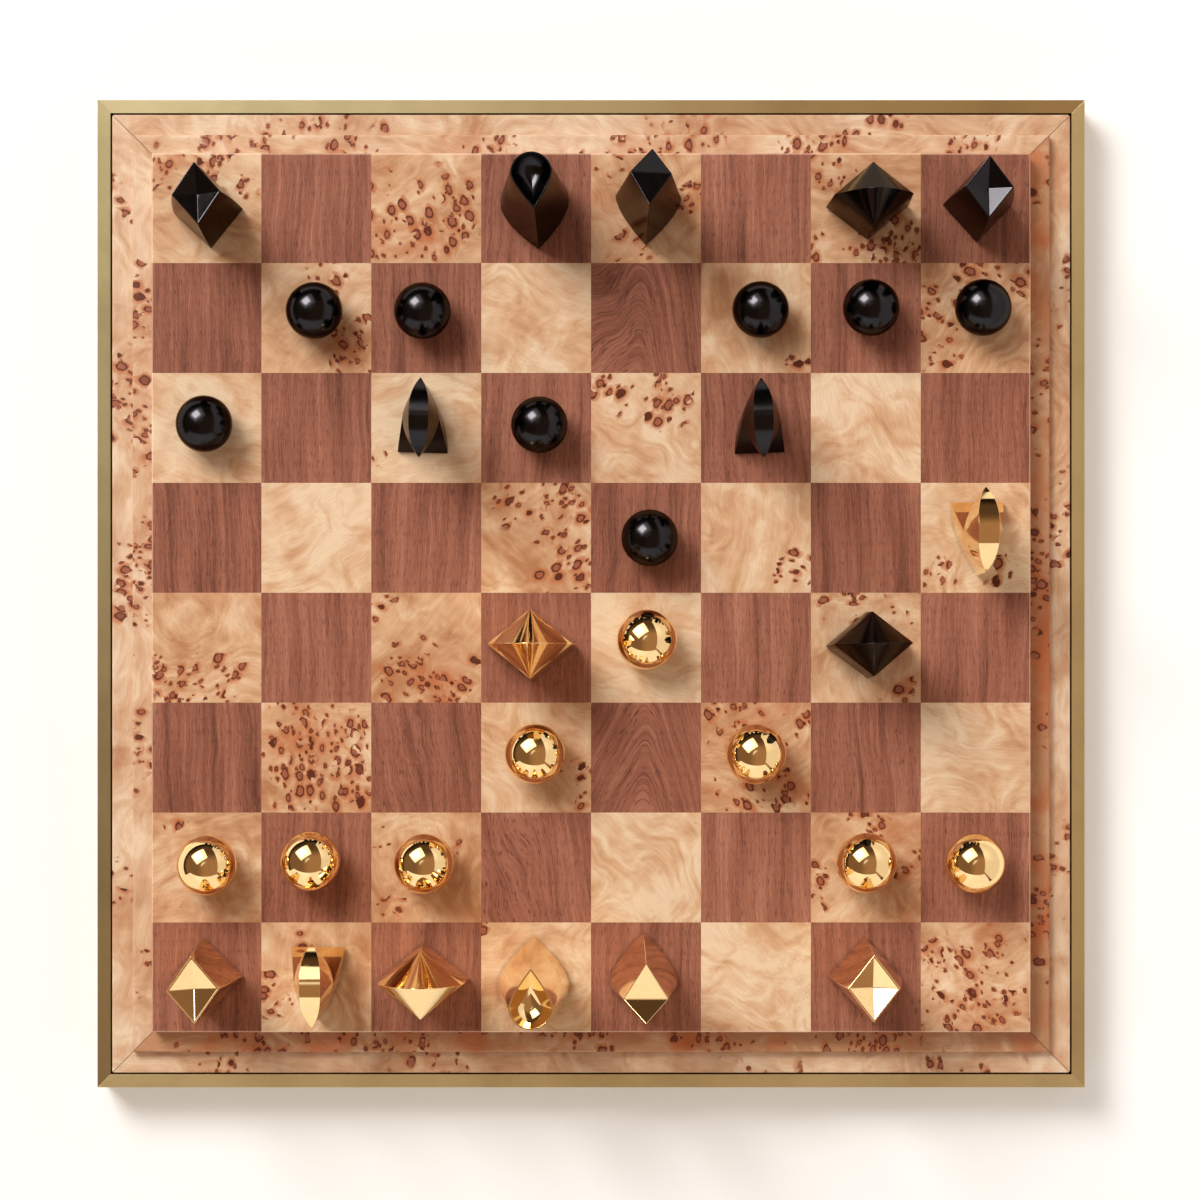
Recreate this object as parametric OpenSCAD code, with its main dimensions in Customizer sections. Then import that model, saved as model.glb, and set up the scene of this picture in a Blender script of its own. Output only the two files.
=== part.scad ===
// Chess set: a stepped board of burl and walnut veneer in a brass band, with thirty-two
// abstract metal pieces that stand in a mid-game position.
// The origin is the centre of the board, on the surface that the rubber feet stand on.
// +Z is up, and +Y points to the black player's side (rank 8).

/* [Playing surface] */
// Side of one playing square
square = 45; // [42:1:60]
// Thickness of the veneer squares and of the edge strips
veneer_t = 0.8; // [0.5:0.1:1.2]

/* [Ledges] */
// Width of each of the two ledges around the squares
ledge_w = 9; // [8:0.5:16]
// Height of the inner ledge above the outer one
step_h = 4; // [2:0.5:8]
// Height of the playing area above the inner ledge
field_step_h = 9; // [4:0.5:12]
// Height of the outer rails above the base panel
rail_h = 10.5; // [8:0.5:20]
// Radius of the wooden frame's outer corners
corner_r = 1.2; // [0.6:0.2:2]

/* [Brass band] */
// Thickness of the upright brass band
band_t = 5.4; // [3:0.2:8]
// Gap between the wood and the brass band
band_gap = 0.6; // [0.3:0.1:1.5]
// Width of the flange that runs under the base panel
flange_w = 12; // [9:0.5:18]
// Thickness of that flange
flange_t = 1.5; // [1.5:0.1:3]

/* [Base] */
// Thickness of the base panel
base_t = 7; // [6:0.5:12]
// Height of the rubber feet
foot_h = 2.5; // [2:0.1:6]
// Diameter of the rubber feet
foot_d = 18; // [14:1:28]
// Distance of each foot's centre from the edge of the base panel
foot_inset = 34; // [28:1:60]

/* [Fasteners] */
// Shank diameter of the wood screws
screw_d = 3; // [2:0.1:3.4]
// Radial room of a screw in its hole
screw_clear = 0.1; // [0.05:0.05:0.3]
// Length of the screws that hold the core
core_screw_l = 16; // [12:1:20]
// Length of the screws that hold the brass band
band_screw_l = 6; // [4:0.5:7]
// Length of the screws that hold the feet
foot_screw_l = 7; // [5:0.5:7]
// Distance between neighbouring screws
screw_pitch = 120; // [80:5:150]

/* [Mitre keys] */
// Thickness of the keys in the mitres
key_t = 1.5; // [1:0.1:3]
// Length of a key along the mitre
key_l = 5; // [3:0.5:6]
// Width of a key across the mitre
key_w = 6; // [3:0.5:6]

/* [Chess pieces] */
// Size of the black pieces
black_size = 1; // [0.8:0.01:1.05]
// Size of the gold pieces
gold_size = 1.07; // [0.8:0.01:1.1]
// Diameter of a pawn's ball
pawn_d = 23; // [18:0.5:26]
// Width and depth of a rook's foot
rook_foot = [28.4, 30.6]; // [22:0.2:34]
// Width and depth of a rook's rim
rook_rim = [19.4, 25]; // [14:0.2:27]
// How far a rook's rim lies behind its foot
rook_lean = 1; // [0:0.2:3]
// Height of a rook
rook_h = 44; // [36:1:60]
// Depth of the pocket in a rook's top
rook_pocket = 4; // [2:0.5:12]
// Width and depth of a bishop's foot
bishop_foot = [34, 27.4]; // [22:0.2:35]
// Width and depth of a bishop's rim
bishop_rim = [31.8, 26]; // [20:0.2:34]
// Height of a bishop's rim
bishop_rim_h = 34; // [24:1:46]
// Rise of a bishop's ridge above the rim
bishop_rise = 18.5; // [8:0.5:22]
// Width of a knight's foot
knight_foot_w = 20.5; // [16:0.5:28]
// Depth of a knight's foot
knight_foot_l = 28; // [24:0.5:34]
// Width and length of a knight's head
knight_head = [15, 32]; // [12:0.2:36]
// Width of the band along a knight's crest
knight_band_w = 7.8; // [4:0.2:12]
// Height at which a knight's chin starts
knight_chin_h = 23; // [14:1:30]
// Height of the tips of a knight's head
knight_tip_h = 31; // [29:1:40]
// Rise of a knight's crest above the tips
knight_rise = 11; // [4:1:18]
// Width of a queen's foot, and its depth in front of and behind the widest line
queen_foot = [28, 18.6, 14.2]; // [12:0.2:32]
// Width of a queen's rim, and its depth in front of and behind the widest line
queen_rim = [16.4, 14.2, 8.3]; // [6:0.2:20]
// How far a queen's rim lies behind her foot
queen_lean = 3.2; // [0:0.2:5]
// Height of a queen
queen_h = 62; // [50:1:76]
// Depth of the scoop in a queen's top
queen_scoop = 5; // [2:0.5:10]
// Width of a king's foot, and its depth in front of and behind the widest line
king_foot = [27, 19.4, 12.8]; // [10:0.2:30]
// Width of a king's rim, and its depth in front of and behind the widest line
king_rim = [16.4, 13.4, 8.6]; // [6:0.2:20]
// How far a king's rim lies behind his foot
king_lean = 1.6; // [0:0.2:4]
// Height of the valley in a king's top
king_valley_h = 57; // [46:1:70]
// Rise of a king's two points above the valley
king_rise = 5.5; // [1:0.5:10]
// Thickness of the felt pads
felt_t = 1; // [0.5:0.1:2]
// Distance of a felt pad's edge from the edge of its piece
felt_inset = 0.9; // [0.4:0.1:1.6]
// Diameter of the felt pad under a pawn
pawn_felt_d = 9; // [6:0.5:12]

/* [Hidden] */
files = 8;
glue = 0.05;            // thickness of a glue line
rest_gap = 0.05;        // air between a felt pad and the squares
play_half = files * square / 2;
inner_half = play_half + ledge_w;
outer_half = inner_half + ledge_w;
band_in_half = outer_half + band_gap;
band_out_half = band_in_half + band_t;
flange_in_half = band_in_half - flange_w;
z_base = foot_h;
z_rails = z_base + base_t;
z_outer = z_rails + rail_h;
z_inner = z_outer + step_h;
z_play = z_inner + field_step_h;
z_core_top = z_play - veneer_t;
core_half = play_half - veneer_t;
foot_at = outer_half - foot_inset;
head_d = 2 * screw_d;
head_h = screw_d / 2;
foot_head_z = 0.8;      // how deep a foot screw's head sits inside its foot
drive_w = 1.2;          // square drive in the screw heads
drive_h = 0.8;
slot_clear = 0.05;      // room around a mitre key
cut = 0.5;              // how far cutting solids run past a face
round_fn = 48;
ball_fn = 96;
quarter_n = 8;          // points in each quarter of a piece's outline
straight = 1;           // an outline that runs straight from the widest line to its end
curved = 2;             // an outline that bulges as a circle's does
pointed = 1;            // an end that closes in a point
rounded = 2;            // an end that closes in a round curve
pad_share = 3;          // felt insets that come off the width of a rhombic pad
wood = "#d4a47a";
walnut = "#8d543c";
board_brown = "#a8835c";
brass = "#a8915c";
black = "#1c1b1c";
gold = "#d9a441";
steel = "#9aa0a6";
rubber = "#2b2b2b";

// Each side's name and the turn that takes the north side there
SIDES = [["north", 0], ["west", 90], ["south", 180], ["east", 270]];

// The position: name, kind, file from a, rank from 1, offset in the square, turn
SETUP = [
    ["black_rook_a", "rook", 1, 8, 1, -1.5, 4],
    ["black_queen", "queen", 4, 8, -0.6, 1.6, 5],
    ["black_king", "king", 5, 8, 1, 4, -3],
    ["black_bishop_f", "bishop", 7, 8, 0.5, 0.5, 1],
    ["black_rook_h", "rook", 8, 8, 0.5, 1, -1],
    ["black_knight_b", "knight", 3, 6, -1, 3.7, -1.5],
    ["black_knight_g", "knight", 6, 6, 1, 3.6, 2],
    ["black_bishop_c", "bishop", 7, 4, 0.3, 1, 1.5],
    ["black_pawn_a", "pawn", 1, 6, 0.3, 0.8, 0],
    ["black_pawn_b", "pawn", 2, 7, 0, 1.8, 0],
    ["black_pawn_c", "pawn", 3, 7, -1, 1.7, 0],
    ["black_pawn_d", "pawn", 4, 6, 1.5, 0.4, 0],
    ["black_pawn_e", "pawn", 5, 5, 1.3, -0.5, 0],
    ["black_pawn_f", "pawn", 6, 7, 1.4, 2.2, 0],
    ["black_pawn_g", "pawn", 7, 7, 1.3, 3, 0],
    ["black_pawn_h", "pawn", 8, 7, 1.8, 3, 0],
    ["gold_rook_a", "rook", 1, 1, 0, 0, 3],
    ["gold_knight_b", "knight", 2, 1, 1, -2.4, 0],
    ["gold_bishop_c", "bishop", 3, 1, -0.5, 0, 0],
    ["gold_queen", "queen", 4, 1, -1, -2.8, 0],
    ["gold_king", "king", 5, 1, -1, -1.8, 0],
    ["gold_rook_h", "rook", 7, 1, -0.5, 0.5, 0],
    ["gold_knight_g", "knight", 8, 5, 0.3, -0.5, 0],
    ["gold_bishop_f", "bishop", 4, 4, -1.8, 1, 0],
    ["gold_pawn_a", "pawn", 1, 2, 1.4, 1.5, 0],
    ["gold_pawn_b", "pawn", 2, 2, -1.5, 3.1, 0],
    ["gold_pawn_c", "pawn", 3, 2, -0.4, 2.2, 0],
    ["gold_pawn_d", "pawn", 4, 3, -0.3, 1.7, 0],
    ["gold_pawn_e", "pawn", 5, 4, 0.1, 3.1, 0],
    ["gold_pawn_f", "pawn", 6, 3, -0.5, 1.6, 0],
    ["gold_pawn_g", "pawn", 7, 2, -0.7, 2.4, 0],
    ["gold_pawn_h", "pawn", 8, 2, -1.5, 2.2, 0],
];

// ---- helpers for the board ----

// Draws its children once in each corner of a square of half-width at
module four_corners(at) {
    for (sx = [-1, 1], sy = [-1, 1]) translate([sx * at, sy * at, 0]) children();
}

// A block that spans -half to half in X and Y and z0 to z1 in Z
module slab(half, z0, z1) {
    translate([-half, -half, z0]) cube([2 * half, 2 * half, z1 - z0]);
}

// A square outline with rounded corners
module rounded_square(half, r) {
    square([2 * half, 2 * (half - r)], center = true);
    square([2 * (half - r), 2 * half], center = true);
    four_corners(half - r) circle(r, $fn = round_fn);
}

// The quarter of the plane north of both diagonals
module north_wedge(reach) {
    polygon([[0, 0], [reach, reach], [-reach, reach]]);
}

// One mitred length of a square frame, on its north side
module mitred_length(in_half, out_half, r, z0, z1) {
    translate([0, 0, z0]) linear_extrude(z1 - z0) intersection() {
        difference() {
            rounded_square(out_half, r);
            square(2 * in_half, center = true);
        }
        north_wedge(out_half + cut);
    }
}

// A countersunk wood screw, head down, that points up from z = 0
module wood_screw(length) {
    tip_h = screw_d;
    difference() {
        union() {
            cylinder(h = head_h, d1 = head_d, d2 = screw_d, $fn = round_fn);
            cylinder(h = length - tip_h, d = screw_d, $fn = round_fn);
            translate([0, 0, length - tip_h])
                cylinder(h = tip_h, d1 = screw_d, d2 = screw_d / 4, $fn = round_fn);
        }
        translate([-drive_w / 2, -drive_w / 2, -cut]) cube([drive_w, drive_w, cut + drive_h]);
    }
}

// The hole for that screw, open below z = 0
module screw_hole(length) {
    wide = 2 * screw_clear;
    cylinder(h = head_h + screw_clear, d1 = head_d + wide, d2 = screw_d + wide, $fn = round_fn);
    cylinder(h = length + screw_clear, d = screw_d + wide, $fn = round_fn);
    translate([0, 0, -cut]) cylinder(h = 2 * cut, d = head_d + wide, $fn = round_fn);
}

// Places of the screws under the core
module at_core_screws() {
    for (ix = [-1:1], iy = [-1:1])
        translate([ix * screw_pitch, iy * screw_pitch, z_base]) children();
}

// Places of the screws in the flange of the brass band
module at_band_screws() {
    for (s = SIDES, i = [-1:1]) rotate(s[1])
        translate([i * screw_pitch, band_in_half - flange_w / 2, z_base]) children();
}

// A key that lies across the mitre in each corner of a frame
module mitre_keys(in_half, out_half, z_mid, clear) {
    for (q = [0:3]) rotate(90 * q + 45)
        translate([(in_half + out_half) / sqrt(2), 0, z_mid])
            cube([key_l, key_w, key_t] + clear * [2, 2, 2], center = true);
}

// ---- board ----

module base_panel() {
    color(board_brown) difference() {
        slab(outer_half, z_base, z_rails);
        // rebate all round the underside for the flange
        difference() {
            slab(outer_half + cut, z_base - cut, z_base + flange_t + glue);
            slab(flange_in_half - glue, z_base - 2 * cut, z_rails);
        }
        at_core_screws() screw_hole(core_screw_l);
        at_band_screws() screw_hole(band_screw_l);
        four_corners(foot_at) translate([0, 0, foot_head_z]) screw_hole(foot_screw_l);
    }
}

module core_panel() {
    color(board_brown) difference() {
        slab(core_half, z_rails, z_core_top);
        at_core_screws() screw_hole(core_screw_l);
    }
}

// The veneer squares of one colour: parity 0 holds the light corner at a8
module veneer_squares(parity, tint) {
    color(tint) for (ix = [0:files - 1], iy = [0:files - 1])
        if ((ix + files - 1 - iy) % 2 == parity)
            translate([ix * square - play_half, iy * square - play_half, z_core_top])
                cube([square, square, veneer_t]);
}

module light_squares() veneer_squares(0, wood);

module dark_squares() veneer_squares(1, walnut);

module edge_strips() {
    color(wood) for (s = SIDES) rotate(s[1])
        mitred_length(core_half, play_half, 0, z_rails, z_core_top);
}

module inner_rail(turn) {
    color(wood) difference() {
        rotate(turn) mitred_length(play_half, inner_half, 0, z_rails, z_inner);
        mitre_keys(play_half, inner_half, (z_rails + z_inner) / 2, slot_clear);
    }
}

module outer_rail(turn) {
    color(wood) difference() {
        rotate(turn) mitred_length(inner_half, outer_half, corner_r, z_rails, z_outer);
        mitre_keys(inner_half, outer_half, (z_rails + z_outer) / 2, slot_clear);
    }
}

module brass_band(turn) {
    color(brass) difference() {
        rotate(turn) union() {
            mitred_length(band_in_half, band_out_half, 0, z_base, z_outer);
            mitred_length(flange_in_half, band_in_half, 0, z_base, z_base + flange_t);
        }
        at_band_screws() screw_hole(band_screw_l);
    }
}

module inner_mitre_keys() {
    color(board_brown) mitre_keys(play_half, inner_half, (z_rails + z_inner) / 2, 0);
}

module outer_mitre_keys() {
    color(board_brown) mitre_keys(inner_half, outer_half, (z_rails + z_outer) / 2, 0);
}

module core_screws() {
    color(steel) at_core_screws() wood_screw(core_screw_l);
}

module band_screws() {
    color(steel) at_band_screws() wood_screw(band_screw_l);
}

module rubber_feet() {
    chamfer = 0.5;
    color(rubber) four_corners(foot_at) difference() {
        union() {
            cylinder(h = chamfer, d1 = foot_d - 2 * chamfer, d2 = foot_d, $fn = round_fn);
            translate([0, 0, chamfer])
                cylinder(h = foot_h - chamfer, d = foot_d, $fn = round_fn);
        }
        translate([0, 0, foot_head_z]) screw_hole(foot_screw_l);
        translate([0, 0, -cut])
            cylinder(h = cut + foot_head_z, d = head_d + 2 * screw_clear, $fn = round_fn);
    }
}

module foot_screws() {
    color(steel) four_corners(foot_at) translate([0, 0, foot_head_z]) wood_screw(foot_screw_l);
}

// ---- outlines and lofts for the chess pieces ----
// A piece stands on z = 0 in its own frame and faces -Y.

// Half-width at the share s of the way from the widest line to the tip. bulge runs from
// straight to curved, and end is pointed or rounded.
function half_width(s, w, bulge, end) = w * pow(max(0, 1 - pow(s, bulge)), 1 / end);

// Share of the way from the widest line to the tip of each point in a quarter
function share(i) = sin(90 * i / quarter_n);

// A closed outline with a tip at each end of Y. front and back are [depth, bulge, end].
// It starts at the front tip and runs anticlockwise; z is a height, or a function of s and side.
function leaf(w, front, back, y0, z) = concat(
    [for (i = [quarter_n:-1:1]) leaf_point(w, front, y0, z, share(i), 1, -1)],
    [for (i = [0:quarter_n]) leaf_point(w, back, y0, z, share(i), 1, 1)],
    [for (i = [quarter_n - 1:-1:0]) leaf_point(w, back, y0, z, share(i), -1, 1)],
    [for (i = [1:quarter_n - 1]) leaf_point(w, front, y0, z, share(i), -1, -1)]
);
function leaf_point(w, half, y0, z, s, x_side, y_side) = [
    x_side * half_width(s, w, half[1], half[2]),
    y0 + y_side * half[0] * s,
    z(s, y_side)
];

// A rhombus of the given width and depth, from the front corner anticlockwise
function rhombus(size, y0, z) = [
    [0, y0 - size[1] / 2, z],
    [size[0] / 2, y0, z],
    [0, y0 + size[1] / 2, z],
    [-size[0] / 2, y0, z]
];

// Faces between two neighbouring rings of n points
function wall(n, k) = [
    for (i = [0:n - 1], half = [0, 1]) let (a = k * n + i, b = k * n + (i + 1) % n)
        half == 0 ? [a, a + n, b] : [b, a + n, b + n]
];

// Faces across a leaf ring, from its right side to its left, up or down
function strips(n, k, up) = [
    for (i = [0:n / 2 - 1], half = [0, 1])
        let (
            r0 = k * n + i, r1 = k * n + i + 1,
            l0 = k * n + (n - i) % n, l1 = k * n + n - i - 1,
            face = half == 0 ? [r0, l1, r1] : [r0, l0, l1]
        )
        if (!(half == 1 && i == 0) && !(half == 0 && r1 == l1))
            up ? face : [face[0], face[2], face[1]]
];

// A closed solid through rings of n points each, with strips across both ends
module loft(rings) {
    n = len(rings[0]);
    last = len(rings) - 1;
    polyhedron(
        points = [for (r = rings, p = r) p],
        faces = concat(
            strips(n, 0, false), [for (k = [0:last - 1], f = wall(n, k)) f], strips(n, last, true)
        )
    );
}

// The same, with the last ring closed on one point
module loft_to_point(rings, tip) {
    n = len(rings[0]);
    last = len(rings) - 1;
    polyhedron(
        points = concat([for (r = rings, p = r) p], [tip]),
        faces = concat(
            [[for (i = [0:n - 1]) i]],
            [for (k = [0:last - 1], f = wall(n, k)) f],
            [for (i = [0:n - 1]) [last * n + i, (last + 1) * n, last * n + (i + 1) % n]]
        )
    );
}

// A felt pad with the outline of a leaf foot: size is width, depth in front, depth behind
module leaf_felt(size, front_bulge, back_bulge, back_end) {
    w = size[0] / 2 - felt_inset;
    front = max(0, size[1] - 2 * felt_inset);
    back = size[2] - 2 * felt_inset;
    ring = leaf(w, [front, front_bulge, pointed], [back, back_bulge, back_end], 0,
        function(s, side) 0);
    linear_extrude(felt_t) polygon([for (p = ring) [p[0], p[1]]]);
}

// A felt pad under a rhombic foot
module rhombic_felt(size) {
    room = pad_share * felt_inset;
    linear_extrude(felt_t) polygon([for (p = rhombus(size - [room, room], 0, 0)) [p[0], p[1]]]);
}

// Lifts a metal body onto its felt pad and the line of glue between them
module on_felt() {
    translate([0, 0, felt_t + glue]) children();
}

// ---- chess pieces ----

module pawn() {
    flat_d = pawn_felt_d + 2 * felt_inset;
    sink = (pawn_d - sqrt(pawn_d * pawn_d - flat_d * flat_d)) / 2;
    on_felt() difference() {
        translate([0, 0, pawn_d / 2 - sink]) sphere(d = pawn_d, $fn = ball_fn);
        translate([0, 0, -pawn_d]) cylinder(h = pawn_d, d = 2 * pawn_d, $fn = round_fn);
    }
    cylinder(h = felt_t, d = pawn_felt_d, $fn = round_fn);
}

module rook() {
    swell = [1, 1];     // how far the middle stands out beyond a straight side
    lip = [1.2, 1.6];   // width and depth that the rim's flat lip takes
    on_felt() loft_to_point(
        [
            rhombus(rook_foot, 0, 0),
            rhombus((rook_foot + rook_rim) / 2 + swell, rook_lean / 2, rook_h / 2),
            rhombus(rook_rim, rook_lean, rook_h),
            rhombus(rook_rim - lip, rook_lean, rook_h)
        ],
        [0, rook_lean, rook_h - rook_pocket]
    );
    rhombic_felt(rook_foot);
}

module bishop() {
    steps = 16;
    half_w = bishop_rim[0] / 2;
    ridge = [
        for (i = [1:steps - 1]) let (x = 1 - 2 * i / steps)
            [x * half_w, 0, bishop_rim_h + bishop_rise * (1 - x * x)]
    ];
    // corners of the rim: 4 front, 5 right, 6 back, 7 left
    along = concat([5], [for (i = [0:steps - 2]) 8 + i], [7]);
    on_felt() polyhedron(
        points = concat(rhombus(bishop_foot, 0, 0), rhombus(bishop_rim, 0, bishop_rim_h), ridge),
        faces = concat(
            [[0, 1, 2, 3]],
            wall(4, 0),
            [for (i = [0:steps - 1]) [6, along[i], along[i + 1]]],
            [for (i = [0:steps - 1]) [4, along[i + 1], along[i]]]
        )
    );
    rhombic_felt(bishop_foot);
}

module knight() {
    past = 0.6;         // how far the rings run past the cuts that shape the front
    tip_t = 2;          // thickness of the nose
    belly_share = 0.3;  // how far the foot's front bulges, as a share of the nose's reach
    cheek_bulge = 1.7;
    crest_bulge = 3;
    below = 1;          // how far the wedge starts below the foot
    front_y = -knight_foot_l / 2;
    back_y = knight_foot_l / 2;
    head_half = knight_head[1] / 2;
    head_y = back_y - head_half;
    nose_y = back_y - knight_head[1];
    foot_ring = leaf(knight_foot_w / 2, [-belly_share * nose_y, curved, pointed],
        [knight_foot_l + past, curved, pointed], front_y - past, function(s, side) 0);
    cheek_ring = leaf(knight_head[0] / 2, [head_half - past / 2, curved, pointed],
        [head_half + past / 2, cheek_bulge, pointed], head_y - past / 2,
        function(s, side) knight_chin_h - (side < 0 ? past * (1 + s) : 0));
    crest_end = [head_half, crest_bulge, pointed];
    crest_ring = leaf(knight_band_w / 2, crest_end, crest_end, head_y,
        function(s, side) knight_tip_h + knight_rise * (1 - s * s));
    nose_rise = (knight_tip_h - tip_t - knight_chin_h) / head_half;
    lean = (head_y - front_y) / knight_chin_h;
    reach = knight_head[1];
    on_felt() difference() {
        loft([foot_ring, cheek_ring, crest_ring]);
        // the wedge between the sloping chest and the chin
        translate([-reach, 0, 0]) rotate([90, 0, 90]) linear_extrude(2 * reach) polygon([
            [front_y - lean * below, -below],
            [head_y, knight_chin_h],
            [head_y - reach, knight_chin_h + nose_rise * reach],
            [head_y - reach, -below]
        ]);
    }
    translate([0, front_y + felt_inset, 0])
        leaf_felt([knight_foot_w, 0, knight_foot_l - felt_inset], curved, curved, pointed);
}

module queen() {
    lip = 0.93;         // share of the rim's outline that the scoop takes
    steps = 4;
    foot_bulge = 1.6;
    rim_bulge = 1.35;
    function rim_ring(k, z) = leaf(queen_rim[0] / 2 * k, [queen_rim[1] * k, rim_bulge, pointed],
        [queen_rim[2] * k, curved, rounded], queen_lean, function(s, side) z);
    on_felt() loft_to_point(
        concat(
            [
                leaf(queen_foot[0] / 2, [queen_foot[1], foot_bulge, pointed],
                    [queen_foot[2], curved, rounded], 0, function(s, side) 0),
                rim_ring(1, queen_h)
            ],
            [
                for (i = [0:steps - 1]) let (k = 1 - i / steps)
                    rim_ring(k * lip, queen_h - queen_scoop * (1 - k * k))
            ]
        ),
        [0, queen_lean, queen_h - queen_scoop]
    );
    leaf_felt(queen_foot, foot_bulge, curved, rounded);
}

module king() {
    foot_bulge = 1.5;
    on_felt() loft([
        leaf(king_foot[0] / 2, [king_foot[1], foot_bulge, pointed],
            [king_foot[2], foot_bulge, pointed], 0, function(s, side) 0),
        leaf(king_rim[0] / 2, [king_rim[1], straight, pointed],
            [king_rim[2], straight, pointed], king_lean,
            function(s, side) king_valley_h + king_rise * s)
    ]);
    leaf_felt(king_foot, foot_bulge, foot_bulge, pointed);
}

// One piece of the position, in its place on the board
module chess_piece(name, kind, file, rank, dx, dy, turn) {
    is_gold = name[0] == "g";
    middle = (files + 1) / 2;
    color(is_gold ? gold : black)
        translate([(file - middle) * square + dx, (rank - middle) * square + dy, z_play + rest_gap])
            rotate(turn + (is_gold ? 180 : 0)) scale(is_gold ? gold_size : black_size) {
                if (kind == "pawn") pawn();
                if (kind == "rook") rook();
                if (kind == "knight") knight();
                if (kind == "bishop") bishop();
                if (kind == "queen") queen();
                if (kind == "king") king();
            }
}

// ---- assembly ----

base_panel();
core_panel();
light_squares();
dark_squares();
edge_strips();
for (s = SIDES) {
    inner_rail(s[1]);
    outer_rail(s[1]);
    brass_band(s[1]);
}
inner_mitre_keys();
outer_mitre_keys();
core_screws();
band_screws();
rubber_feet();
foot_screws();
for (p = SETUP)
    chess_piece(p[0], p[1], p[2], p[3], p[4], p[5], p[6]);
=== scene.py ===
"""Looks for the chess set: a stepped burl and walnut board in a brass band, with black and gold
pieces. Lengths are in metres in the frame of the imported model. The chess pieces and the textures
are worked out in millimetres."""
import math

import bmesh
import bpy
from mathutils import Matrix, Vector


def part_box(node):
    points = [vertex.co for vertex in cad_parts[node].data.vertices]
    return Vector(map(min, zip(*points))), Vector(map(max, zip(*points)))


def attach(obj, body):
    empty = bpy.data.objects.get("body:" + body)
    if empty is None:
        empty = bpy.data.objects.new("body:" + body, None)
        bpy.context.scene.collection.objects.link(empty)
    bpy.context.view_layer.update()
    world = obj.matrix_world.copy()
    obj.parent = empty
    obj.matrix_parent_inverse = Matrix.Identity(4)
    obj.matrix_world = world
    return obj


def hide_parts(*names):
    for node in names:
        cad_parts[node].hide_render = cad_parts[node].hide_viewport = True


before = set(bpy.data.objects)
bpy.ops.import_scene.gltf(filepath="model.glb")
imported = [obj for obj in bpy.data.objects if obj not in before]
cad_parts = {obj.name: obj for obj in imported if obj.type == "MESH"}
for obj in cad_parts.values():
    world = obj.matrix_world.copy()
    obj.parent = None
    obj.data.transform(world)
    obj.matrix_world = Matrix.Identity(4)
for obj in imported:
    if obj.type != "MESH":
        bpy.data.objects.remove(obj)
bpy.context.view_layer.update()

MM = 0.001
SIDES = {"north": 0, "west": 90, "south": 180, "east": 270}
FILES = "abcdefgh"

# Places in the board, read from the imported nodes
play_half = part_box("light_squares")[1].x
play_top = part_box("light_squares")[1].z
veneer_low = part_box("light_squares")[0].z
strip_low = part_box("edge_strips")[0].z
inner_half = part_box("inner_rail_north")[1].y
inner_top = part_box("inner_rail_north")[1].z
outer_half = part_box("outer_rail_north")[1].y
outer_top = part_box("outer_rail_north")[1].z
square = play_half / 4


def srgb(r, g, b):
    """A colour given as 0-255 display values, as linear RGBA."""
    def lin(c):
        c /= 255
        return c / 12.92 if c <= 0.04045 else ((c + 0.055) / 1.055) ** 2.4
    return (lin(r), lin(g), lin(b), 1.0)


# ---------------------------------------------------------------- node trees


class Nodes:
    """A short way to write a node tree. Every call returns an output socket."""

    def __init__(self, tree):
        self.tree = tree

    def put(self, kind, inputs, out=0, **settings):
        node = self.tree.nodes.new("ShaderNode" + kind)
        for key, value in settings.items():
            setattr(node, key, value)
        for key, value in inputs.items():
            if isinstance(value, bpy.types.NodeSocket):
                self.tree.links.new(value, node.inputs[key])
            else:
                node.inputs[key].default_value = value
        return node.outputs[out]

    def math(self, op, a, b=0.0, c=0.0, clamp=False):
        return self.put("Math", {0: a, 1: b, 2: c}, operation=op, use_clamp=clamp)

    def vec(self, op, a, b=(0, 0, 0)):
        return self.put("VectorMath", {0: a, 1: b}, operation=op)

    def scaled(self, a, k):
        return self.put("VectorMath", {0: a, "Scale": k}, operation="SCALE")

    def split(self, v):
        node = self.tree.nodes.new("ShaderNodeSeparateXYZ")
        self.tree.links.new(v, node.inputs[0])
        return node.outputs[0], node.outputs[1], node.outputs[2]

    def join(self, x, y, z=0.0):
        return self.put("CombineXYZ", {0: x, 1: y, 2: z})

    def place_mm(self):
        """Object coordinates in millimetres."""
        return self.scaled(self.put("TexCoord", {}, out="Object"), 1 / MM)

    def attribute(self, name, out):
        return self.put("Attribute", {}, out=out, attribute_name=name)

    def noise(self, vector, scale, detail=2.0, rough=0.5, out=0):
        return self.put(
            "TexNoise",
            {"Vector": vector, "Scale": scale, "Detail": detail, "Roughness": rough},
            out=out,
        )

    def wobble(self, vector, scale, reach, detail=2.0):
        """A vector that wanders up to about reach either way."""
        colour = self.noise(vector, scale, detail, out=1)
        return self.scaled(self.vec("SUBTRACT", colour, (0.5, 0.5, 0.5)), 2 * reach)

    def span(self, value, lo, hi, to_lo=0.0, to_hi=1.0):
        """value from lo..hi to to_lo..to_hi, smooth and clamped."""
        return self.put(
            "MapRange",
            {"Value": value, "From Min": lo, "From Max": hi, "To Min": to_lo, "To Max": to_hi},
            interpolation_type="SMOOTHSTEP",
        )

    def mix(self, share, a, b, blend="MIX"):
        return self.put(
            "Mix", {0: share, 6: a, 7: b}, out=2, data_type="RGBA", blend_type=blend
        )

    def ramp(self, share, stops):
        node = self.tree.nodes.new("ShaderNodeValToRGB")
        self.tree.links.new(share, node.inputs[0])
        ends = node.color_ramp.elements
        while len(ends) < len(stops):
            ends.new(0.5)
        for end, (at, colour) in zip(ends, stops):
            end.position, end.color = at, colour
        return node.outputs[0]


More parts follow.
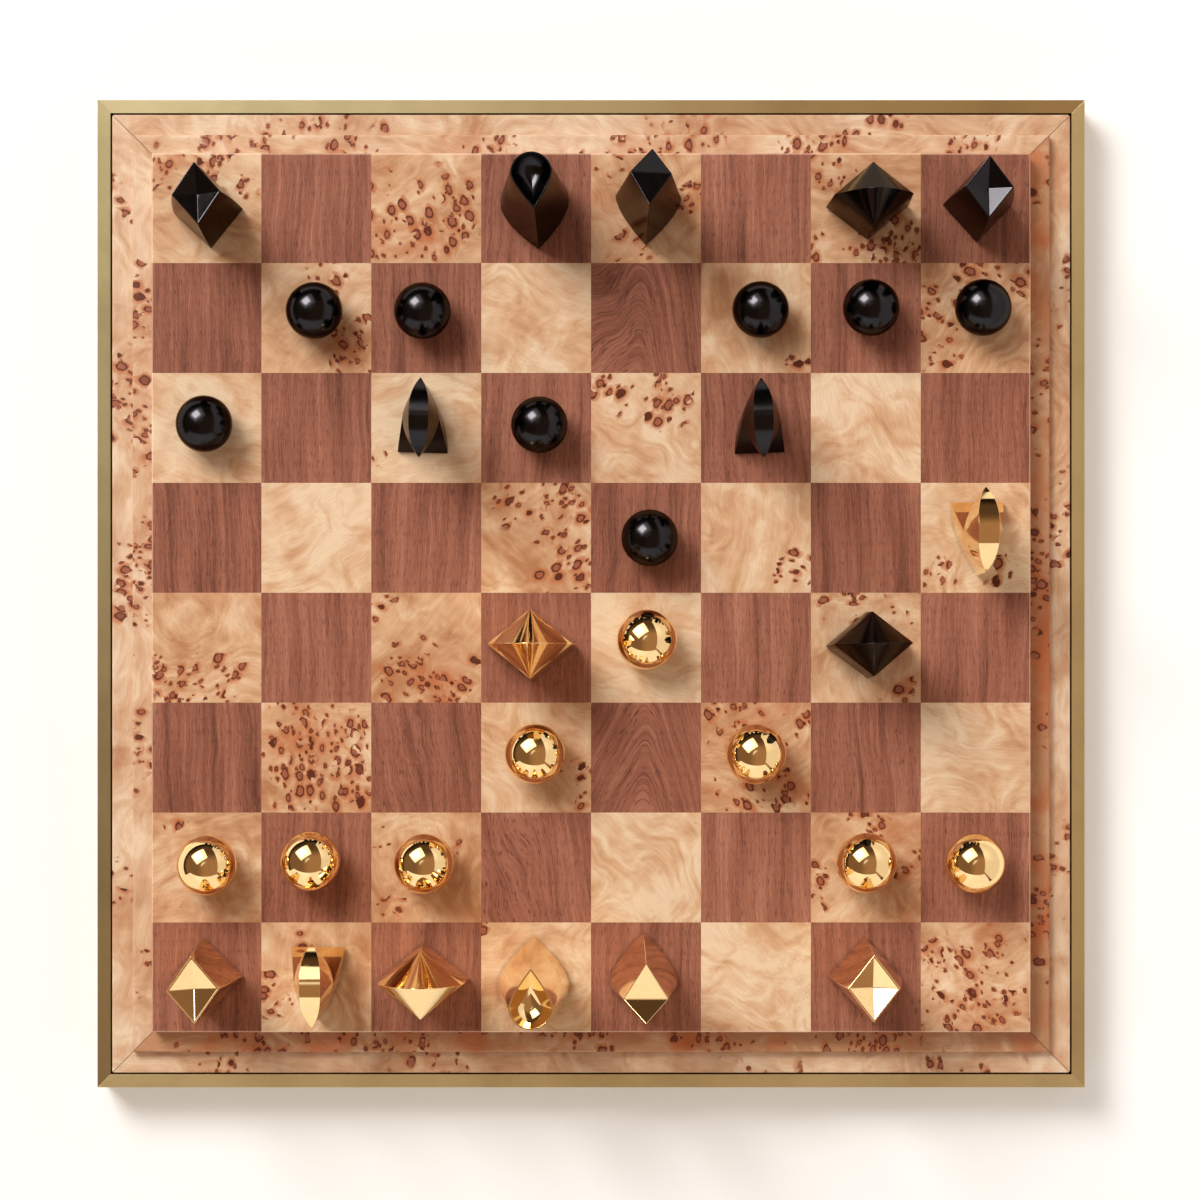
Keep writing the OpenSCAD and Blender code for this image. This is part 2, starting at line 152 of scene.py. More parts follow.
class Tree(Nodes):
    """The nodes of a new material."""

    def __init__(self, name):
        self.material = bpy.data.materials.new(name)
        self.material.use_nodes = True
        super().__init__(self.material.node_tree)
        self.shader = self.tree.nodes["Principled BSDF"]

    def bump(self, height, distance_mm, strength=1.0):
        normal = self.put(
            "Bump", {"Strength": strength, "Distance": distance_mm * MM, "Height": height}
        )
        self.tree.links.new(normal, self.shader.inputs["Normal"])

    def set(self, **values):
        """Sets the shader's own sockets, by a name with _ for each space."""
        for key, value in values.items():
            socket = self.shader.inputs[key.replace("_", " ")]
            if isinstance(value, bpy.types.NodeSocket):
                self.tree.links.new(value, socket)
            else:
                socket.default_value = value
        return self.material


# Burl: where the eyes are folded, and the colours of their parts
FOLD = 0.8
EYE_RING, EYE_PITH = srgb(92, 45, 30), srgb(170, 108, 82)
# The warm patch colour also serves as painted shade on the inner south and east ledges
EYE_HALO, WARM_PATCH_AND_SHADE, FIBRE = srgb(180, 108, 66), srgb(184, 112, 70), srgb(150, 98, 62)
# Two sizes of eye: the spacing in mm, then the smallest and largest radius as shares of it
BIG_EYES, SMALL_EYES = (5.8, 0.15, 0.4), (3.0, 0.14, 0.34)
SMALL_EYES_CHANCE = 0.55
# A painted highlight along the rounded edge of the playing area
PAINTED_EDGE_HIGHLIGHT = srgb(240, 214, 190)


def eye_layer(t, place, chance, cell_mm, small, large):
    """Burl eyes of one size: (dark ring, reddish pith, warm halo), each 0 to 1. Height is folded
    into the plan so that the eyes stay round on an upright face."""
    x, y, z = t.split(place)
    folded = t.join(t.math("MULTIPLY_ADD", z, FOLD, x), t.math("MULTIPLY_ADD", z, FOLD, y))
    inputs = {"Vector": folded, "Scale": 1 / cell_mm, "Randomness": 0.9}
    distance = t.put("TexVoronoi", inputs, out="Distance", voronoi_dimensions="2D")
    luck, size, kind = t.split(distance.node.outputs["Color"])
    there = t.span(t.math("SUBTRACT", chance, luck), 0.0, 0.05)
    radius = t.math("MULTIPLY_ADD", size, large - small, small)
    ratio = t.math("DIVIDE", distance, radius)
    eye = t.math("MULTIPLY", there, t.span(ratio, 1.14, 0.84))
    pith = t.math("MULTIPLY", t.span(ratio, 0.76, 0.52), t.span(kind, 0.05, 0.3))
    halo = t.math("MULTIPLY", there, t.span(ratio, 2.4, 0.9))
    return eye, t.math("MULTIPLY", pith, there), halo


def burl(name, pale, honey, tan, sheen):
    """Burl veneer. Mesh attributes: figure is (turn, seed, warmth), where a high warmth on the inner
    south and east ledges is painted shade, eyes is how dense they are, tone is how light it is and
    rim marks the painted highlight on the rounded edge."""
    t = Tree(name)
    turn, seed, warmth_and_shade = t.split(t.attribute("figure", "Vector"))
    light = t.attribute("tone", "Fac")
    turned = t.put("VectorRotate", {"Vector": t.place_mm(), "Angle": turn},
                   rotation_type="Z_AXIS")
    shift = t.join(t.math("MULTIPLY", seed, 211.0), t.math("MULTIPLY", seed, 97.0))
    leaf_at = t.vec("ADD", turned, shift)
    ripple = t.wobble(leaf_at, 0.06, 2.0, 1.0)
    flow = t.vec("ADD", t.vec("ADD", leaf_at, ripple), t.wobble(leaf_at, 0.014, 15.0, 1.0))
    spot_at = t.vec("MULTIPLY", t.vec("ADD", leaf_at, t.wobble(leaf_at, 0.3, 0.8)),
                    (1.2, 0.85, 1.0))
    clump = t.span(t.noise(leaf_at, 0.13, 2.0), 0.36, 0.58, 0.25, 1.0)
    dense = t.math("MULTIPLY", t.attribute("eyes", "Fac"), clump)
    eye_a, pith_a, halo_a = eye_layer(t, spot_at, dense, *BIG_EYES)
    eye_b, pith_b, halo_b = eye_layer(t, t.vec("ADD", spot_at, (31.0, 17.0, 5.0)),
                                      t.math("MULTIPLY", dense, SMALL_EYES_CHANCE),
                                      *SMALL_EYES)
    eye = t.math("MAXIMUM", eye_a, eye_b)
    pith = t.math("MAXIMUM", pith_a, t.math("MULTIPLY", pith_b, 0.5))
    halo = t.math("MAXIMUM", halo_a, halo_b)

    # The figure: streaks that bend round the eyes, fine fibre, cross curl and soft clouds
    x, y, z = t.split(flow)
    bent = t.math("MULTIPLY_ADD", halo, 1.4, y)
    lines = t.noise(t.join(t.math("MULTIPLY", x, 0.022), t.math("MULTIPLY", bent, 0.13), z),
                    1.0, 4.0, 0.6)
    fibre = t.noise(t.join(t.math("MULTIPLY", x, 0.16), t.math("MULTIPLY", bent, 2.2), z),
                    1.0, 3.0, 0.6)
    curl = t.noise(t.join(t.math("MULTIPLY", x, 0.13), t.math("MULTIPLY", y, 0.045), z),
                   1.0, 1.0, 0.5)
    cloud = t.noise(flow, 0.03, 3.0, 0.55)
    tone = t.math("ADD", t.math("MULTIPLY", cloud, 0.46), t.math("MULTIPLY", lines, 0.38))
    tone = t.math("MULTIPLY_ADD", curl, 0.16, tone)
    # A high warmth darkens the tone and spreads the warm patch colour; on the inner south and east
    # ledges this is painted shade
    tone = t.math("MULTIPLY_ADD", warmth_and_shade, 0.1, tone)
    tone = t.math("SUBTRACT", tone, t.math("MULTIPLY", light, 0.12))
    colour = t.ramp(tone, [(0.37, pale), (0.48, honey), (0.62, tan)])
    warm_and_shade_share = t.math("MULTIPLY", t.span(t.noise(leaf_at, 0.05, 3.0), 0.45, 0.72),
                        t.math("MULTIPLY_ADD", warmth_and_shade, 0.5, t.math("MULTIPLY", dense, 0.4)),
                        clamp=True)
    colour = t.mix(warm_and_shade_share, colour, WARM_PATCH_AND_SHADE)
    colour = t.mix(t.span(fibre, 0.35, 0.72, 0.0, 0.13), colour, FIBRE, "MULTIPLY")
    # The rim attribute mixes in a painted highlight along the playing area's rounded edge
    for share, part_colour, strength in ((halo, EYE_HALO, 0.8), (eye, EYE_RING, 0.95),
                                         (pith, EYE_PITH, 0.8),
                                         (t.attribute("rim", "Fac"), PAINTED_EDGE_HIGHLIGHT, 0.4)):
        colour = t.mix(t.math("MULTIPLY", share, strength), colour, part_colour)
    height = t.math("SUBTRACT", t.math("MULTIPLY", fibre, 0.35), eye)
    t.bump(height, 0.05, 0.5)
    return t.set(Base_Color=colour, Roughness=t.span(lines, 0.3, 0.7, 0.4, 0.5),
                 Specular_IOR_Level=sheen)


# Walnut, from dark to light, its small marks and a painted highlight for the rounded edge
WALNUT = (srgb(110, 69, 55), srgb(152, 102, 83), srgb(180, 129, 107))
PORE, FLECK, WALNUT_PAINTED_HIGHLIGHT = srgb(72, 42, 33), srgb(188, 140, 118), srgb(226, 190, 165)


def walnut(name):
    """Walnut veneer with its grain along Y. Mesh attributes: figure is (turn, seed, cathedral),
    middle is the square's centre in mm, tone is how light it is and rim marks the painted highlight
    on the rounded edge."""
    t = Tree(name)
    turn, seed, arch = t.split(t.attribute("figure", "Vector"))
    local = t.vec("SUBTRACT", t.place_mm(), t.attribute("middle", "Vector"))
    turned = t.put("VectorRotate", {"Vector": local, "Angle": turn}, rotation_type="Z_AXIS")
    x, y, z = t.split(turned)
    far = t.math("MULTIPLY", seed, 173.0)
    drift_at = t.join(t.math("MULTIPLY_ADD", x, 0.03, far), t.math("MULTIPLY", y, 0.018))
    drift = t.math("MULTIPLY", t.math("SUBTRACT", t.noise(drift_at, 1.0, 2.0), 0.5), 9.0)
    bow = t.math("SQRT", t.math("MULTIPLY_ADD", x, x, 16.0))
    nested = t.math("MULTIPLY_ADD", y, 0.36, bow)
    across = t.math("ADD", t.put("Mix", {0: arch, 2: x, 3: nested}, data_type="FLOAT"), drift)
    across = t.math("ADD", across, far)

    def grain(kx, ky, detail):
        """Streaks along the grain, kx apart across it and ky along it."""
        return t.noise(t.join(t.math("MULTIPLY", across, kx), t.math("MULTIPLY", y, ky), seed),
                       1.0, detail, 0.6)

    bands = grain(0.13, 0.007, 3.0)
    lines = grain(0.6, 0.012, 4.0)
    fine = grain(3.6, 0.06, 3.0)
    pores = t.span(grain(4.6, 0.24, 1.0), 0.58, 0.68)
    fleck = t.span(grain(3.4, 0.3, 1.0), 0.36, 0.3)
    tone = t.math("ADD", t.math("MULTIPLY", bands, 0.4), t.math("MULTIPLY", lines, 0.3))
    tone = t.math("MULTIPLY_ADD", fine, 0.3, tone)
    tone = t.math("MULTIPLY_ADD", t.attribute("tone", "Fac"), 0.14, tone)
    colour = t.ramp(tone, list(zip((0.42, 0.56, 0.70), WALNUT)))
    # The rim attribute mixes in a painted highlight along the playing area's rounded edge
    for share, part_colour, strength in ((pores, PORE, 0.6), (fleck, FLECK, 0.3),
                                         (t.attribute("rim", "Fac"), WALNUT_PAINTED_HIGHLIGHT, 0.45)):
        colour = t.mix(t.math("MULTIPLY", share, strength), colour, part_colour)
    height = t.math("SUBTRACT", t.math("MULTIPLY", fine, 0.3), pores)
    t.bump(height, 0.04, 0.5)
    return t.set(Base_Color=colour, Roughness=t.span(lines, 0.3, 0.7, 0.42, 0.52),
                 Specular_IOR_Level=0.22)


# Linear colours
BLACK = (0.0, 0.0, 0.0, 1.0)
CLEAN_BRASS, DULL_BRASS = (0.82, 0.72, 0.42, 1.0), (0.68, 0.59, 0.33, 1.0)


def brushed(name, along, rough, painted_brightness):
    """Brass brushed along X (along 0) or along Y (along 1), with a little tarnish. The last argument,
    from 0 to 1, is painted shade: below 1 it darkens the colour toward black."""
    t = Tree(name)
    x, y, z = t.split(t.place_mm())
    run, cross = (x, y) if along == 0 else (y, x)
    at = t.join(t.math("MULTIPLY", run, 0.03), t.math("MULTIPLY", cross, 9.0),
                t.math("MULTIPLY", z, 9.0))
    hair = t.noise(at, 1.0, 3.0, 0.6)
    tarnish = t.noise(t.place_mm(), 0.02, 4.0, 0.6)
    shade = t.mix(t.span(tarnish, 0.4, 0.75), CLEAN_BRASS, DULL_BRASS)
    # Painted shade: the colour is darkened toward black by the last argument
    shade = t.mix(painted_brightness, BLACK, shade)
    t.bump(hair, 0.003, 0.1)
    return t.set(Base_Color=shade, Metallic=1.0,
                 Roughness=t.math("MULTIPLY_ADD", hair, 0.06, rough))


def gold():
    """Mirror-polished gold plate, with the faint waves and haze of hand polishing."""
    t = Tree("polished_gold")
    place = t.place_mm()
    wave = t.noise(place, 0.16, 2.0)
    haze = t.noise(place, 0.5, 4.0, 0.65)
    shade = t.mix(t.span(haze, 0.3, 0.8), (0.97, 0.73, 0.39, 1.0), (0.94, 0.68, 0.34, 1.0))
    t.bump(wave, 0.05, 0.12)
    return t.set(Base_Color=shade, Metallic=1.0, Roughness=t.span(haze, 0.35, 0.8, 0.05, 0.11))


def black_plate():
    """Satin black plating: a faint grey reflection that stays faint at a glancing angle."""
    t = Tree("black_plate")
    place = t.place_mm()
    peel = t.noise(place, 1.6, 2.0)
    haze = t.noise(place, 0.3, 4.0, 0.65)
    shade = t.mix(haze, (0.040, 0.038, 0.041, 1.0), (0.052, 0.049, 0.052, 1.0))
    t.bump(peel, 0.002, 0.1)
    return t.set(Base_Color=shade, Metallic=1.0, Specular_Tint=(0.62, 0.55, 0.48, 1.0),
                 Roughness=t.span(haze, 0.3, 0.8, 0.17, 0.22))


def felt():
    """Matt black wool felt."""
    t = Tree("felt_pad")
    place = t.place_mm()
    fuzz = t.noise(place, 3.0, 4.0, 0.7)
    shade = t.mix(fuzz, srgb(18, 18, 20), srgb(48, 47, 50))
    t.bump(fuzz, 0.25, 0.8)
    return t.set(Base_Color=shade, Roughness=0.95, Sheen_Weight=0.4, Sheen_Roughness=0.5)


def rubber():
    """Black rubber with a fine grit."""
    t = Tree("foot_rubber")
    grit = t.noise(t.place_mm(), 4.0, 3.0, 0.7)
    shade = t.mix(grit, srgb(22, 22, 23), srgb(44, 43, 43))
    t.bump(grit, 0.06, 0.5)
    return t.set(Base_Color=shade, Roughness=t.span(grit, 0.3, 0.7, 0.55, 0.75))


def steel():
    """Zinc-plated steel for the screws."""
    t = Tree("zinc_steel")
    flake = t.noise(t.place_mm(), 1.2, 3.0, 0.6)
    shade = t.mix(flake, srgb(140, 142, 146), srgb(190, 190, 188))
    t.bump(flake, 0.01, 0.3)
    return t.set(Base_Color=shade, Metallic=1.0, Roughness=t.span(flake, 0.3, 0.7, 0.3, 0.45))


BARK = srgb(82, 58, 36)


def fibreboard(name, light, dark):
    """Plain board or wood with short fibres, for what the veneer hides."""
    t = Tree(name)
    place = t.place_mm()
    fibre = t.noise(place, 1.4, 5.0, 0.75)
    fleck = t.span(t.noise(place, 3.6, 2.0), 0.62, 0.7)
    shade = t.mix(fibre, light, dark)
    shade = t.mix(t.math("MULTIPLY", fleck, 0.5), shade, BARK)
    t.bump(fibre, 0.08, 0.5)
    return t.set(Base_Color=shade, Roughness=t.span(fibre, 0.3, 0.7, 0.7, 0.85))


# ---------------------------------------------------------------- meshes


def add_object(name, mesh, *materials):
    """Puts a mesh into the scene as a new object."""
    for m in materials:
        mesh.materials.append(m)
    obj = bpy.data.objects.new(name, mesh)
    bpy.context.scene.collection.objects.link(obj)
    return obj


def mesh_of(name, points, faces):
    mesh = bpy.data.meshes.new(name)
    mesh.from_pydata([tuple(p) for p in points], [], faces)
    mesh.validate()
    mesh.update()
    return mesh


def faced_outward(mesh):
    """Turns the faces of a closed mesh to the outside."""
    bm = bmesh.new()
    bm.from_mesh(mesh)
    bmesh.ops.recalc_face_normals(bm, faces=bm.faces)
    bm.to_mesh(mesh)
    bm.free()
    return mesh


def shade(mesh, angle):
    """Smooth shading, with every edge sharper than angle kept crisp."""
    mesh.polygons.foreach_set("use_smooth", [True] * len(mesh.polygons))
    mesh.set_sharp_from_angle(angle=math.radians(angle))
    mesh.update()


def bevelled(mesh, width, angle=28.0, segments=3):
    """The mesh with every edge sharper than angle rounded over."""
    shade(mesh, angle)
    obj = bpy.data.objects.new("bevel_tmp", mesh)
    bpy.context.scene.collection.objects.link(obj)
    mod = obj.modifiers.new("bevel", "BEVEL")
    mod.width, mod.segments, mod.limit_method = width, segments, "ANGLE"
    mod.angle_limit, mod.harden_normals = math.radians(angle), True
    graph = bpy.context.evaluated_depsgraph_get()
    made = bpy.data.meshes.new_from_object(obj.evaluated_get(graph))
    made.name = mesh.name
    bpy.data.objects.remove(obj)
    return made


def set_attribute(mesh, name, kind, values):
    """Puts one value on each vertex."""
    field = "vector" if kind == "FLOAT_VECTOR" else "value"
    flat = [c for v in values for c in v] if kind == "FLOAT_VECTOR" else values
    mesh.attributes.new(name, kind, "POINT").data.foreach_set(field, flat)


# ---------------------------------------------------------------- board

# Burl from pale to tan, for the squares and for the ledges
BURL_LIGHT = (srgb(226, 203, 173), srgb(210, 174, 140), srgb(180, 133, 97))
BURL_RAIL = (srgb(224, 203, 176), srgb(208, 176, 145), srgb(184, 140, 106))
# Radius of the playing area's rounded edge, and how many steps a square is cut into
EDGE_R = 0.7 * MM
GRID = 10
# How far below the top a point gets the painted highlight of the rounded edge
ARRIS_DROP = 0.02 * MM

# Eye clusters in the light squares: x, y and reach, in half-squares from the middle
EYES = {
    "a8": [(-0.9, 0.85, 0.5), (0.1, 0.95, 0.5), (0.75, 0.3, 0.25)],
    "c8": [(0.5, 0.1, 0.55), (-0.5, -0.5, 0.5), (0.3, -0.7, 0.35), (-0.8, 0.4, 0.25)],
    "e8": [(0.85, 0.2, 0.35), (-0.2, -0.6, 0.35), (-0.6, 0.8, 0.3), (0.5, 0.9, 0.2)],
    "g8": [(-0.7, 0.7, 0.4), (0.3, -0.85, 0.55), (0.85, -0.5, 0.3), (-0.9, -0.6, 0.3)],
    "b7": [(0.7, -0.3, 0.45), (0.2, 0.75, 0.3), (0.6, -0.8, 0.3)],
    "f7": [(0.7, -0.9, 0.2)],
    "h7": [(-0.85, 0.2, 0.45), (-0.7, -0.7, 0.4), (0.1, 0.9, 0.45), (0.85, 0.8, 0.4)],
    "c6": [(-0.9, -0.5, 0.15)],
    "e6": [(0.35, 0.65, 0.5), (-0.75, 0.75, 0.3)],
    "d5": [(-0.6, 0.75, 0.3), (0.3, 0.3, 0.4), (0.75, -0.4, 0.5), (0.6, 0.85, 0.35)],
    "f5": [(0.7, -0.75, 0.35)],
    "h5": [(-0.7, -0.75, 0.3), (0.4, -0.6, 0.2)],
    "a4": [(-0.35, -0.65, 0.4), (0.5, -0.75, 0.45), (-0.9, -0.3, 0.2)],
    "c4": [(-0.5, -0.1, 0.4), (-0.1, -0.7, 0.5), (0.6, -0.85, 0.4), (-0.8, 0.8, 0.3)],
    "g4": [(-0.2, 0.9, 0.4), (0.8, 0.7, 0.3), (0.75, -0.8, 0.25)],
    "b3": [(-0.5, 0.6, 0.55), (0.5, 0.3, 0.5), (-0.3, -0.5, 0.5), (0.6, -0.6, 0.45)],
    "d3": [(0.8, -0.3, 0.25), (0.9, -0.8, 0.2)],
    "f3": [(-0.3, 0.85, 0.5), (-0.8, 0.2, 0.35), (-0.3, -0.75, 0.45), (0.6, -0.5, 0.4),
           (0.85, 0.7, 0.3)],
    "a2": [(-0.6, 0.8, 0.15)],
    "c2": [(-0.5, -0.8, 0.25), (0.6, 0.2, 0.15), (-0.9, 0.5, 0.2)],
    "e2": [(0.95, 0.9, 0.12)],
    "g2": [(0.2, 0.8, 0.35), (0.85, 0.1, 0.3), (-0.9, -0.2, 0.35)],
    "b1": [(-0.75, -0.3, 0.4), (-0.3, 0.7, 0.2)],
    "d1": [(-0.95, 0.95, 0.15)],
    "h1": [(-0.75, 0.3, 0.4), (-0.2, -0.3, 0.45), (0.4, 0.5, 0.35), (-0.3, -0.9, 0.5),
           (0.7, -0.5, 0.35)],
}
# How the light squares' figure turns, in degrees, and how warm it is, row by row from a8
LIGHT_TURN = [30, -20, 65, 10, -40, 15, 80, -65, 20, -10, 35, 70, -25, 55, -75, 5,
              40, -55, 25, 85, -5, 60, -30, 12, -15, 75, 50, -45, 100, 0, 45, -35]
LIGHT_WARMTH = [0.3, 0.5, 0.5, 0.6, 0.4, 0.1, 0.3, 0.6, 0.1, 0.1, 0.2, 0.1, 0.1, 0.5, 0.3, 0.2,
                0.5, 0.6, 0.1, 0.6, 0.5, 0.2, 0.7, 0.1, 0.6, 0.8, 0.0, 0.7, 0.3, 0.2, 0.2, 0.5]
# How light each square's veneer is, from 0 to 10, row by row from a8
TONE = [
    (4, 4, 4, 3, 4, 5, 4, 3),
    (2, 5, 3, 7, 2, 5, 4, 4),
    (6, 3, 7, 5, 5, 4, 7, 3),
    (2, 8, 4, 5, 3, 7, 3, 7),
    (5, 5, 4, 5, 7, 6, 6, 4),
    (2, 4, 3, 5, 4, 4, 4, 6),
    (4, 4, 3, 5, 7, 6, 4, 5),
    (4, 6, 4, 6, 5, 8, 4, 4),
]
# How strongly a dark square shows a cathedral figure
ARCHED = {"e3": 0.8, "e7": 0.6, "c3": 0.2, "d2": 0.35}


def lines_across(lo, hi, round_lo, round_hi):
    """Grid lines from lo to hi, closer together where an edge is rounded."""
    at = [lo + (hi - lo) * i / GRID for i in range(GRID + 1)]
    for share in (0.08, 0.2, 0.4, 0.7, 1.0):
        at += [lo + EDGE_R * share] * round_lo + [hi - EDGE_R * share] * round_hi
    return sorted(at)


def edge_drop(depth):
    """How far a rounded edge has dropped at this distance inside it."""
    e = EDGE_R - min(depth, EDGE_R)
    return EDGE_R - math.sqrt(EDGE_R * EDGE_R - e * e)


def density(bumps, x, y):
    """How dense the eyes are at a point, from bumps of (x, y, reach)."""
    total = 0.0
    for bx, by, reach in bumps:
        total += math.exp(-((x - bx) ** 2 + (y - by) ** 2) / (reach * reach))
    return min(1.0, total)


def playing_squares(name, parity, material):
    """All the squares of one colour, as one mesh of veneer tiles."""
    points, faces, figure, middle, eyes, tones = [], [], [], [], [], []
    number = 0
    for rank in range(8, 0, -1):
        for file in range(8):
            if (file + 8 - rank) % 2 != parity:
                continue
            cx, cy = (file - 3.5) * square, (rank - 4.5) * square
            xs = lines_across(cx - square / 2, cx + square / 2, file == 0, file == 7)
            ys = lines_across(cy - square / 2, cy + square / 2, rank == 1, rank == 8)
            label = FILES[file] + str(rank)
            if parity == 0:
                look = (math.radians(LIGHT_TURN[number]), number + 1.0, LIGHT_WARMTH[number])
            else:
                tilt = math.radians(2.2 * math.sin(number * 2.4))
                look = (tilt, number + 1.0, ARCHED.get(label, 0.0))
            start = len(points)
            for x in xs:
                for y in ys:
                    depth_x = play_half - abs(x) if file in (0, 7) else EDGE_R
                    depth_y = play_half - abs(y) if rank in (1, 8) else EDGE_R
                    depth = min(depth_x, depth_y)
                    if depth_x < EDGE_R and depth_y < EDGE_R:
                        depth = EDGE_R - min(EDGE_R, math.hypot(EDGE_R - depth_x,
                                                                EDGE_R - depth_y))
                    points.append((x, y, play_top - edge_drop(depth)))
            ny = len(ys)
            for i in range(len(xs) - 1):
                for j in range(ny - 1):
                    a = start + i * ny + j
                    faces.append((a, a + ny, a + ny + 1, a + 1))
            rim = [start + i * ny for i in range(len(xs))]
            rim += [start + (len(xs) - 1) * ny + j for j in range(1, ny)]
            rim += [start + i * ny + ny - 1 for i in range(len(xs) - 2, -1, -1)]
            rim += [start + j for j in range(ny - 2, 0, -1)]
            low = len(points)
            points += [(points[k][0], points[k][1], veneer_low) for k in rim]
            for k in range(len(rim)):
                nxt = (k + 1) % len(rim)
                faces.append((rim[nxt], rim[k], low + k, low + nxt))
            for p in points[start:]:
                figure.append(look)
                middle.append((cx / MM, cy / MM, 0.0))
                tones.append(TONE[8 - rank][file] / 10)
                eyes.append(density(EYES.get(label, []), (p[0] - cx) * 2 / square,
                                    (p[1] - cy) * 2 / square) if parity == 0 else 0.0)
            number += 1
    mesh = mesh_of(name, points, faces)
    set_attribute(mesh, "figure", "FLOAT_VECTOR", figure)
    set_attribute(mesh, "middle", "FLOAT_VECTOR", middle)
    set_attribute(mesh, "eyes", "FLOAT", eyes)
    set_attribute(mesh, "tone", "FLOAT", tones)
    # Painted highlight: points on the rounded edge, below the flat top, get a paler colour
    painted_highlight_edge = [float(play_top - p[2] > ARRIS_DROP) for p in points]
    set_attribute(mesh, "rim", "FLOAT", painted_highlight_edge)
    shade(mesh, 50)
    return add_object(name, mesh, material)


# Where a rail ends along its mitre line, leaving a hairline joint, and its steps along
MITRE_END = 0.9993
RAIL_STEPS = 90
# How warm the rails' veneer is, side by side; the high inner south and east values are painted shade
INNER_WARMTH_AND_SHADE = {"north": 0.35, "west": 0.3, "south": 1.7, "east": 1.8}
OUTER_WARMTH = {"north": 0.3, "west": 0.3, "south": 0.35, "east": 0.5}


def mitred_rail(name, in_half, out_half, low, top, turn, material, bumps, seed, warmth_and_shade,
                corner=0.0, radius=0.8 * MM):
    """One side of a mitred frame with a rounded outer top edge. Runs along X on the north side."""
    arc = [(out_half - radius + radius * math.sin(a), top - radius + radius * math.cos(a))
           for a in (math.radians(15 * k) for k in range(7))]
    wide = out_half - in_half
    section = [(in_half, low), (in_half, top)]
    section += [(in_half + wide * k / 4, top) for k in (1, 2, 3)] if wide > 2 * MM else []
    section += arc + [(out_half, low)]
    shares = [MITRE_END * (2 * i / RAIL_STEPS - 1) for i in range(RAIL_STEPS + 1)]
    if corner:
        extra = [1 - corner * k / 4 / out_half for k in range(1, 5)]
        shares = sorted(shares + extra + [-s for s in extra])
    points, figure, eyes = [], [], []
    turning = Matrix.Rotation(math.radians(turn), 3, "Z")
    centre = out_half - corner
    for s in shares:
        for d, z in section:
            x, y = s * d, d
            if corner and abs(x) > centre and y > centre:
                away = math.hypot(abs(x) - centre, y - centre)
                if away > corner:
                    x = math.copysign(centre + (abs(x) - centre) * corner / away, x)
                    y = centre + (y - centre) * corner / away
            points.append(turning @ Vector((x, y, z)))
            figure.append((math.radians(turn + 8), seed, warmth_and_shade))
            eyes.append(min(1.0, sum(k * math.exp(-((s - at) / reach) ** 2)
                                     for at, reach, k in bumps)))
    n = len(section)
    faces = []
    for i in range(len(shares) - 1):
        for j in range(n):
            a, b = i * n + j, i * n + (j + 1) % n
            faces.append((a, b, b + n, a + n))
    faces.append(tuple(range(n))[::-1])
    faces.append(tuple(range((len(shares) - 1) * n, len(shares) * n)))
    mesh = faced_outward(mesh_of(name, points, faces))
    set_attribute(mesh, "figure", "FLOAT_VECTOR", figure)
    set_attribute(mesh, "eyes", "FLOAT", eyes)
    set_attribute(mesh, "tone", "FLOAT", [0.5] * len(mesh.vertices))
    set_attribute(mesh, "rim", "FLOAT", [0.0] * len(mesh.vertices))
    shade(mesh, 40)
    return add_object(name, mesh, material)


# Eye clusters along the ledges: place from -1 to 1 anticlockwise, reach and strength
INNER_EYES = {
    "north": [(-0.8, 0.1, 0.7), (-0.55, 0.06, 0.6), (-0.2, 0.08, 0.7), (0.1, 0.09, 0.9),
              (0.3, 0.05, 0.7), (0.5, 0.07, 0.9), (0.85, 0.06, 0.9)],
    "west": [(-0.85, 0.05, 0.6), (-0.35, 0.08, 0.8), (0.05, 0.12, 1.0), (0.35, 0.08, 0.8),
             (0.62, 0.1, 0.8)],
    "south": [(-0.62, 0.1, 0.8), (-0.28, 0.1, 0.9), (0.05, 0.09, 0.6), (0.45, 0.15, 0.8),
              (0.8, 0.1, 0.7)],
    "east": [(-0.9, 0.05, 0.5), (-0.45, 0.12, 0.9), (-0.05, 0.13, 1.0), (0.3, 0.05, 0.6),
             (0.75, 0.1, 0.9)],
}
OUTER_EYES = {
    "north": [(-0.6, 0.1, 0.7), (0.2, 0.06, 0.6), (0.62, 0.09, 0.5)],
    "west": [(-0.6, 0.06, 0.6), (0.0, 0.07, 1.0), (0.4, 0.09, 0.9), (0.85, 0.05, 0.4)],
    "south": [(-0.8, 0.08, 0.5), (-0.35, 0.07, 0.4), (0.3, 0.1, 0.5), (0.75, 0.08, 0.6)],
    "east": [(-0.62, 0.07, 0.5), (-0.15, 0.1, 0.5), (0.6, 0.07, 0.7)],
}


def refined(node, name, width, angle=40.0):
    """A copy of a CAD node's mesh with merged points, whole flat faces and rounded edges."""
    bm = bmesh.new()
    bm.from_mesh(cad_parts[node].data)
    bmesh.ops.remove_doubles(bm, verts=bm.verts, dist=1e-6)
    bmesh.ops.dissolve_limit(bm, angle_limit=math.radians(1), verts=bm.verts, edges=bm.edges)
    mesh = bpy.data.meshes.new(name)
    bm.to_mesh(mesh)
    bm.free()
    mesh.materials.clear()
    return bevelled(mesh, width, angle, 2)


# ---------------------------------------------------------------- chess pieces

# Steps along a quarter of an outline, and the two kinds of end
QUARTER = 20
POINTED, ROUNDED = 1.0, 2.0

# The pieces' feet in mm: width and depth, or width, front depth and back depth
ROOK_FOOT, BISHOP_FOOT, KNIGHT_FOOT = (28.4, 30.6), (34.0, 27.4), (20.5, 28.0)
QUEEN_FOOT, KING_FOOT = (28.0, 18.6, 14.2), (27.0, 19.4, 12.8)
PAWN_FELT_R = 4.5


